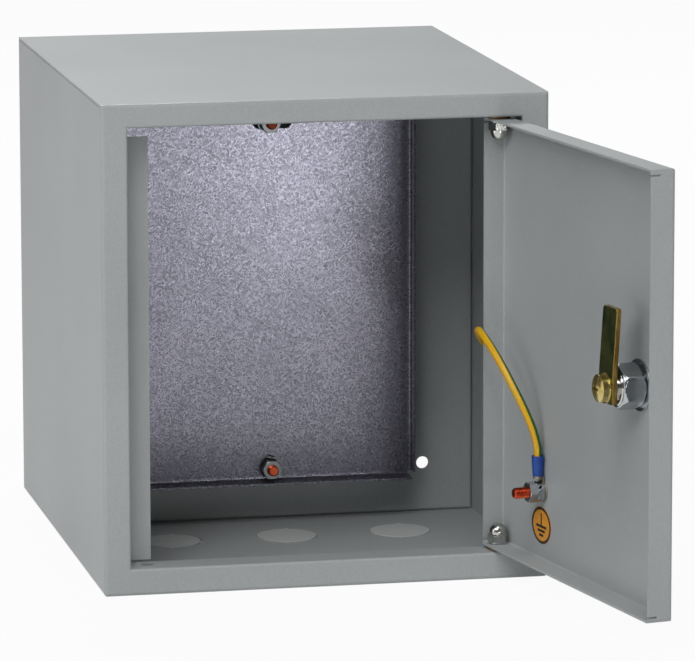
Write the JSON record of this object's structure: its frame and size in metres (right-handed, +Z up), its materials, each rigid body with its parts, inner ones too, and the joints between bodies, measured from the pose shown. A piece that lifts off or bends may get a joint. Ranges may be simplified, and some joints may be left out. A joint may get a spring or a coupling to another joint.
{
  "type": "wall enclosure",
  "caption": "Small sheet-steel wall enclosure with hinged door, cam lock, galvanised mounting plate, floor knock-outs and door earth lead.",
  "frame": {"origin": "centre of the four wall fixing holes, on the rear face", "axes": "+Y to the rear, along the wall screws; +Z up; the door is at -Y, hinged at +X"},
  "size_m": [0.2602, 0.4713, 0.262],
  "materials": {
    "paint": "fine orange-peel powder coat, light grey",
    "floor_blank": "powder coat, light grey, struck edge",
    "galvanised": "spangled hot-dip zinc",
    "copper": "copper-plated steel",
    "zinc": "bright zinc plate",
    "yellow_zinc": "yellow passivated zinc plate",
    "bronze": "sintered bronze",
    "nickel": "nickel plate",
    "tin": "tinned copper",
    "blue_sleeve": "satin PVC",
    "lead": "satin PVC, yellow with a green stripe",
    "label": "printed film"
  },
  "bodies": {
    "enclosure": {"front_frame": "paint", "body_wrap": "paint", "top_panel": "paint", "back_wall": "paint", "rear_panel": "paint", "knockout_blanks": "floor_blank", "mounting_plate": "galvanised", "plate_studs": "copper", "plate_spacers": "zinc", "plate_washers": "zinc", "plate_spring_washers": "zinc", "plate_nuts": "zinc", "body_earth_stud": "copper", "body_earth_washer": "zinc", "body_earth_lug": "tin", "body_lug_sleeve": "blue_sleeve", "body_earth_spring_washer": "zinc", "body_earth_nut": "zinc", "hinge_bolts": "zinc", "hinge_bushes": "bronze", "hinge_washers": "zinc", "hinge_cap_nuts": "nickel", "earth_lead": "lead"},
    "door": {"door_panel": "paint", "lock_body": "nickel", "lock_washer": "zinc", "lock_nut": "zinc", "door_earth_stud": "copper", "door_earth_washer": "zinc", "door_earth_lug": "tin", "door_lug_sleeve": "blue_sleeve", "door_earth_spring_washer": "zinc", "door_earth_nut": "zinc", "earth_label": "label"},
    "lock_cam": {"lock_plug": "nickel", "cam": "yellow_zinc", "cam_washer": "yellow_zinc", "cam_screw": "yellow_zinc"}
  },
  "joints": [
    {"name": "door_hinge", "type": "hinge", "parent": "enclosure", "child": "door", "pos_m": [0.0954, -0.2743, 0], "axis": [0, 0, 1], "range_deg": [-101, 0], "deforming": ["earth_lead"]},
    {"name": "cam_turn", "type": "hinge", "parent": "door", "child": "lock_cam", "pos_m": [0.11873, -0.43521, 0.0005], "axis": [0.9816, 0.1908, 0], "range_deg": [0, 90]}
  ]
}
